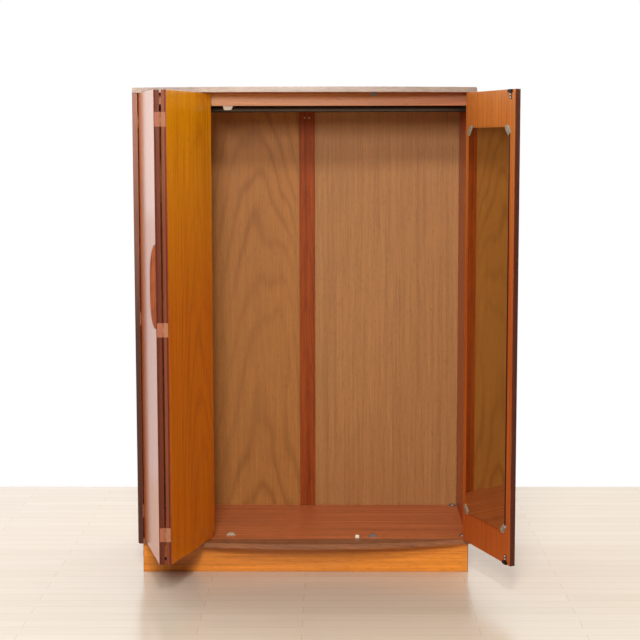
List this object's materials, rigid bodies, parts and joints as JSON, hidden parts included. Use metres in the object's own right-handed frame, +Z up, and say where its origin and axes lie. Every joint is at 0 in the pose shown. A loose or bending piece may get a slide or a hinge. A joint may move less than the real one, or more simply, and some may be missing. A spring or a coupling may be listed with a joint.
{
  "type": "wardrobe",
  "caption": "Bow-fronted wardrobe on a plinth with a folding pair of doors, a door with a mirror inside and an oval hanging rail.",
  "frame": {"origin": "middle of the underside of the plinth's front board, on the floor", "axes": "+Z up, +Y from the front towards the back, +X to the right as seen from the front"},
  "size_m": [1.3288, 0.9343, 1.758],
  "materials": {
    "carcass_veneer": "satin lacquer",
    "back_veneer": "matt",
    "batten_wood": "satin",
    "plinth_wood": "satin lacquer",
    "door_veneer": "gloss lacquer",
    "door_inner_veneer": "satin lacquer",
    "handle_wood": "satin lacquer",
    "hinge_steel": "bronzed",
    "bright_steel": "satin",
    "rail_metal": "plated",
    "dark_socket": "matt",
    "strike_metal": "satin",
    "pale_nylon": "matt",
    "white_nylon": "matt",
    "catch_steel": "satin",
    "mirror_glass": "polished",
    "clip_plastic": "clear"
  },
  "bodies": {
    "carcass": {"back_batten": "batten_wood", "back_panel_left": "back_veneer", "back_panel_right": "back_veneer", "bottom_lipping": "carcass_veneer", "bottom_panel": "carcass_veneer", "centre_stop": "white_nylon", "front_rail": "carcass_veneer", "guide_track": "bright_steel", "hanging_rail": "rail_metal", "hinge_left_bottom_frame_leaf": "hinge_steel", "hinge_left_middle_frame_leaf": "hinge_steel", "hinge_left_top_frame_leaf": "hinge_steel", "hinge_right_bottom_frame_leaf": "hinge_steel", "hinge_right_middle_frame_leaf": "hinge_steel", "hinge_right_top_frame_leaf": "hinge_steel", "plinth_back": "plinth_wood", "plinth_front": "plinth_wood", "plinth_left": "plinth_wood", "plinth_right": "plinth_wood", "rail_socket_left": "dark_socket", "rail_socket_right": "dark_socket", "side_left": "carcass_veneer", "side_right": "carcass_veneer", "strike_left_floor": "pale_nylon", "strike_left_top": "pale_nylon", "strike_right_floor": "strike_metal", "strike_right_top": "strike_metal", "top_panel": "carcass_veneer"},
    "left_door": {"catch_left_bottom": "catch_steel", "catch_left_top": "catch_steel", "handle": "handle_wood", "hinge_fold_bottom_left_leaf": "hinge_steel", "hinge_fold_middle_left_leaf": "hinge_steel", "hinge_fold_top_left_leaf": "hinge_steel", "hinge_left_bottom_door_leaf": "hinge_steel", "hinge_left_middle_door_leaf": "hinge_steel", "hinge_left_top_door_leaf": "hinge_steel", "left_door_core": "door_inner_veneer", "left_door_face": "door_veneer"},
    "middle_door": {"guide_pin": "bright_steel", "hinge_fold_bottom_middle_leaf": "hinge_steel", "hinge_fold_middle_middle_leaf": "hinge_steel", "hinge_fold_top_middle_leaf": "hinge_steel", "middle_door_core": "door_inner_veneer", "middle_door_face": "door_veneer"},
    "right_door": {"catch_right_bottom": "catch_steel", "catch_right_top": "catch_steel", "hinge_right_bottom_door_leaf": "hinge_steel", "hinge_right_middle_door_leaf": "hinge_steel", "hinge_right_top_door_leaf": "hinge_steel", "mirror": "mirror_glass", "mirror_clip_left_bottom": "clip_plastic", "mirror_clip_left_top": "clip_plastic", "mirror_clip_right_bottom": "clip_plastic", "mirror_clip_right_top": "clip_plastic", "right_door_core": "door_inner_veneer", "right_door_face": "door_veneer"},
    "roller": {"guide_roller": "pale_nylon"}
  },
  "joints": [
    {"name": "left_door_hinge", "type": "hinge", "parent": "carcass", "child": "left_door", "pos_m": [-0.5905, -0.0315, 0.937], "axis": [0, 0, 1], "range_deg": [-2, 75.2]},
    {"name": "fold_hinge", "type": "hinge", "parent": "left_door", "child": "middle_door", "pos_m": [-0.47202, -0.38599, 0.937], "axis": [0, 0, 1], "range_deg": [-148.7, 4.1]},
    {"name": "right_door_hinge", "type": "hinge", "parent": "carcass", "child": "right_door", "pos_m": [0.5905, -0.0315, 0.937], "axis": [0, 0, 1], "range_deg": [-109.5, 70]},
    {"name": "guide_roller_spin", "type": "hinge", "parent": "middle_door", "child": "roller", "pos_m": [-0.35024, -0.0195, 1.743], "axis": [0, 0, 1], "continuous": true}
  ],
  "couplings": [
    {"joint": "fold_hinge", "follows": "left_door_hinge", "ratio": -1.9761}
  ]
}
